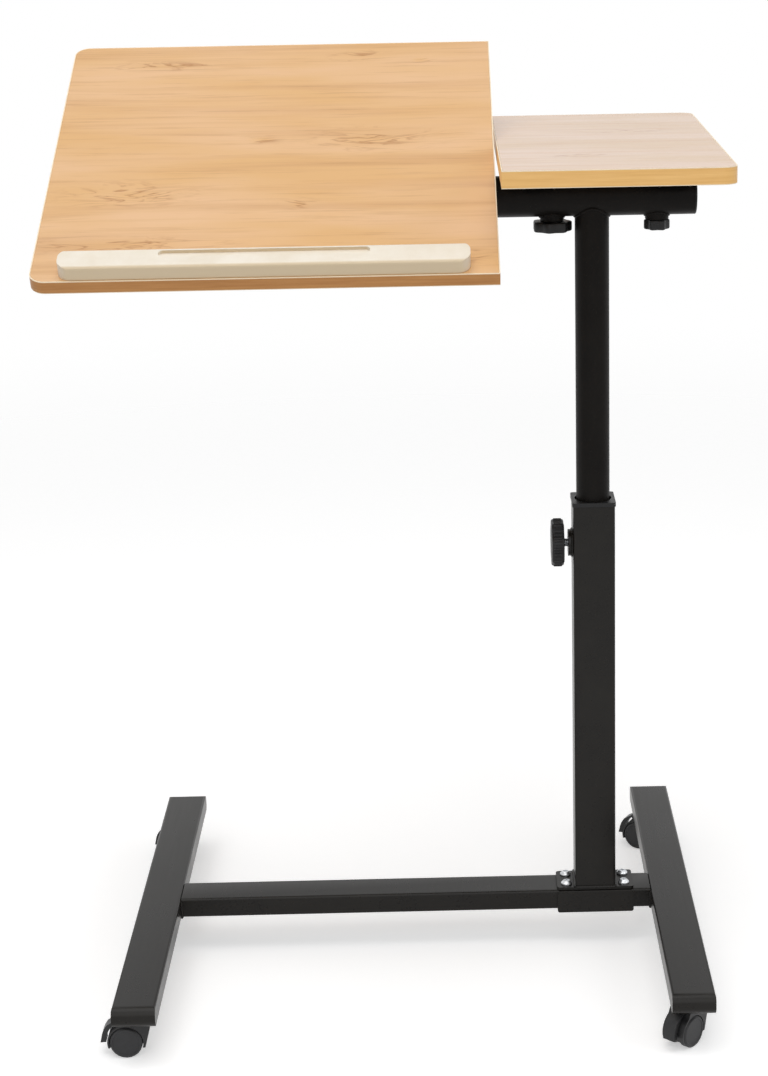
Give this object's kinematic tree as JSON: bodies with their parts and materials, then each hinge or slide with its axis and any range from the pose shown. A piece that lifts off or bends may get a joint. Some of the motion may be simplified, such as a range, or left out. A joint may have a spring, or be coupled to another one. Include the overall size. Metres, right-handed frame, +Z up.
{
  "type": "typewriter table",
  "caption": "Rolling side table: offset telescoping column on a castered base, a small fixed top and a large tilting top with a stop bar.",
  "frame": {"origin": "on the floor under the middle of the outline", "axes": "+Z up, +X to the right along the crossbar as seen by the sitter, +Y away from the sitter"},
  "size_m": [0.602, 0.507, 0.8783],
  "materials": {
    "black_steel": "semi-gloss black powder coat",
    "black_plastic": "fine matt black",
    "grey_wheel": "dark grey, matt",
    "zinc_steel": "bright zinc plate",
    "oak_laminate": "light oak grain, satin",
    "oak_edge": "golden oak edge band, satin",
    "cream_plastic": "cream, satin"
  },
  "bodies": {
    "base": {"left_foot": "black_steel", "right_foot": "black_steel", "crossbar": "black_steel", "saddle_clamp": "black_steel", "column_flange": "black_steel", "saddle_screw_front_left": "zinc_steel", "saddle_screw_front_right": "zinc_steel", "saddle_screw_rear_left": "zinc_steel", "saddle_screw_rear_right": "zinc_steel", "column_tube": "black_steel", "column_collar": "black_plastic", "height_boss": "black_steel", "caster_front_left_stem": "zinc_steel", "caster_front_right_stem": "zinc_steel", "caster_rear_left_stem": "zinc_steel", "caster_rear_right_stem": "zinc_steel"},
    "guide": {"guide_bush": "black_plastic"},
    "post": {"post_tube": "black_steel", "cross_tube": "black_steel", "cross_tube_plug": "black_plastic", "tilt_boss": "black_steel", "tilt_end_boss": "black_steel", "small_top_bracket_left": "black_steel", "small_top_bracket_right": "black_steel", "small_top": "oak_laminate", "small_top_edge_band": "oak_edge"},
    "tilting_top": {"tilt_tube": "black_steel", "tilt_tube_plug": "black_plastic", "big_top_bracket_left": "black_steel", "big_top_bracket_right": "black_steel", "big_top": "oak_laminate", "big_top_edge_band": "oak_edge", "stop_bar": "cream_plastic"},
    "height_clamp": {"height_knob": "black_plastic", "height_stud": "zinc_steel"},
    "tilt_clamp": {"tilt_knob": "black_plastic", "tilt_stud": "zinc_steel"},
    "tilt_end_clamp": {"tilt_end_knob": "black_plastic", "tilt_end_stud": "zinc_steel"},
    "caster_front_left": {"caster_front_left_hood": "black_plastic", "caster_front_left_axle": "zinc_steel"},
    "caster_front_left_wheel_a": {"caster_front_left_wheel_a": "grey_wheel"},
    "caster_front_left_wheel_b": {"caster_front_left_wheel_b": "grey_wheel"},
    "caster_front_left_brake": {"caster_front_left_brake_lever": "black_plastic"},
    "caster_front_right": {"caster_front_right_hood": "black_plastic", "caster_front_right_axle": "zinc_steel"},
    "caster_front_right_wheel_a": {"caster_front_right_wheel_a": "grey_wheel"},
    "caster_front_right_wheel_b": {"caster_front_right_wheel_b": "grey_wheel"},
    "caster_front_right_brake": {"caster_front_right_brake_lever": "black_plastic"},
    "caster_rear_left": {"caster_rear_left_hood": "black_plastic", "caster_rear_left_axle": "zinc_steel"},
    "caster_rear_left_wheel_a": {"caster_rear_left_wheel_a": "grey_wheel"},
    "caster_rear_left_wheel_b": {"caster_rear_left_wheel_b": "grey_wheel"},
    "caster_rear_left_brake": {"caster_rear_left_brake_lever": "black_plastic"},
    "caster_rear_right": {"caster_rear_right_hood": "black_plastic", "caster_rear_right_axle": "zinc_steel"},
    "caster_rear_right_wheel_a": {"caster_rear_right_wheel_a": "grey_wheel"},
    "caster_rear_right_wheel_b": {"caster_rear_right_wheel_b": "grey_wheel"},
    "caster_rear_right_brake": {"caster_rear_right_brake_lever": "black_plastic"}
  },
  "joints": [
    {"name": "height_slide", "type": "slide", "parent": "base", "child": "guide", "axis": [0, 0, 1], "range_m": [-0.21, 0.09]},
    {"name": "post_swivel", "type": "hinge", "parent": "guide", "child": "post", "pos_m": [0.189, 0, 0.3], "axis": [0, 0, 1], "continuous": true},
    {"name": "top_tilt", "type": "hinge", "parent": "post", "child": "tilting_top", "pos_m": [0, 0, 0.7504], "axis": [1, 0, 0], "range_deg": [-24, 36]},
    {"name": "height_knob_turn", "type": "hinge", "parent": "base", "child": "height_clamp", "pos_m": [0.1607, 0, 0.4161], "axis": [-1, 0, 0], "range_deg": [0, 360]},
    {"name": "tilt_knob_turn", "type": "hinge", "parent": "post", "child": "tilt_clamp", "pos_m": [0.152, 0, 0.7273], "axis": [0, 0, -1], "range_deg": [0, 360]},
    {"name": "tilt_end_knob_turn", "type": "hinge", "parent": "post", "child": "tilt_end_clamp", "pos_m": [0.2492, 0, 0.7273], "axis": [0, 0, -1], "range_deg": [0, 360]},
    {"name": "caster_front_left_swivel", "type": "hinge", "parent": "base", "child": "caster_front_left", "pos_m": [-0.244, -0.219, 0.035], "axis": [0, 0, 1], "continuous": true},
    {"name": "caster_front_left_wheel_a_spin", "type": "hinge", "parent": "caster_front_left", "child": "caster_front_left_wheel_a", "pos_m": [-0.255, -0.219, 0.015], "axis": [0, -1, 0], "continuous": true},
    {"name": "caster_front_left_wheel_b_spin", "type": "hinge", "parent": "caster_front_left", "child": "caster_front_left_wheel_b", "pos_m": [-0.255, -0.219, 0.015], "axis": [0, -1, 0], "continuous": true},
    {"name": "caster_front_left_brake_lift", "type": "hinge", "parent": "caster_front_left", "child": "caster_front_left_brake", "pos_m": [-0.26222, -0.219, 0.03481], "axis": [0, 1, 0], "range_deg": [0, 25]},
    {"name": "caster_front_right_swivel", "type": "hinge", "parent": "base", "child": "caster_front_right", "pos_m": [0.264, -0.219, 0.035], "axis": [0, 0, 1], "continuous": true},
    {"name": "caster_front_right_wheel_a_spin", "type": "hinge", "parent": "caster_front_right", "child": "caster_front_right_wheel_a", "pos_m": [0.25686, -0.22736, 0.015], "axis": [0.7604, -0.6494, 0], "continuous": true},
    {"name": "caster_front_right_wheel_b_spin", "type": "hinge", "parent": "caster_front_right", "child": "caster_front_right_wheel_b", "pos_m": [0.25686, -0.22736, 0.015], "axis": [0.7604, -0.6494, 0], "continuous": true},
    {"name": "caster_front_right_brake_lift", "type": "hinge", "parent": "caster_front_right", "child": "caster_front_right_brake", "pos_m": [0.25216, -0.23286, 0.03481], "axis": [-0.7604, 0.6494, 0], "range_deg": [0, 25]},
    {"name": "caster_rear_left_swivel", "type": "hinge", "parent": "base", "child": "caster_rear_left", "pos_m": [-0.244, 0.219, 0.035], "axis": [0, 0, 1], "continuous": true},
    {"name": "caster_rear_left_wheel_a_spin", "type": "hinge", "parent": "caster_rear_left", "child": "caster_rear_left_wheel_a", "pos_m": [-0.25446, 0.2224, 0.015], "axis": [-0.309, -0.9511, 0], "continuous": true},
    {"name": "caster_rear_left_wheel_b_spin", "type": "hinge", "parent": "caster_rear_left", "child": "caster_rear_left_wheel_b", "pos_m": [-0.25446, 0.2224, 0.015], "axis": [-0.309, -0.9511, 0], "continuous": true},
    {"name": "caster_rear_left_brake_lift", "type": "hinge", "parent": "caster_rear_left", "child": "caster_rear_left_brake", "pos_m": [-0.26133, 0.22463, 0.03481], "axis": [0.309, 0.9511, 0], "range_deg": [0, 25]},
    {"name": "caster_rear_right_swivel", "type": "hinge", "parent": "base", "child": "caster_rear_right", "pos_m": [0.264, 0.219, 0.035], "axis": [0, 0, 1], "continuous": true},
    {"name": "caster_rear_right_wheel_a_spin", "type": "hinge", "parent": "caster_rear_right", "child": "caster_rear_right_wheel_a", "pos_m": [0.25429, 0.22416, 0.015], "axis": [-0.4695, -0.8829, 0], "continuous": true},
    {"name": "caster_rear_right_wheel_b_spin", "type": "hinge", "parent": "caster_rear_right", "child": "caster_rear_right_wheel_b", "pos_m": [0.25429, 0.22416, 0.015], "axis": [-0.4695, -0.8829, 0], "continuous": true},
    {"name": "caster_rear_right_brake_lift", "type": "hinge", "parent": "caster_rear_right", "child": "caster_rear_right_brake", "pos_m": [0.24791, 0.22756, 0.03481], "axis": [0.4695, 0.8829, 0], "range_deg": [0, 25]}
  ]
}
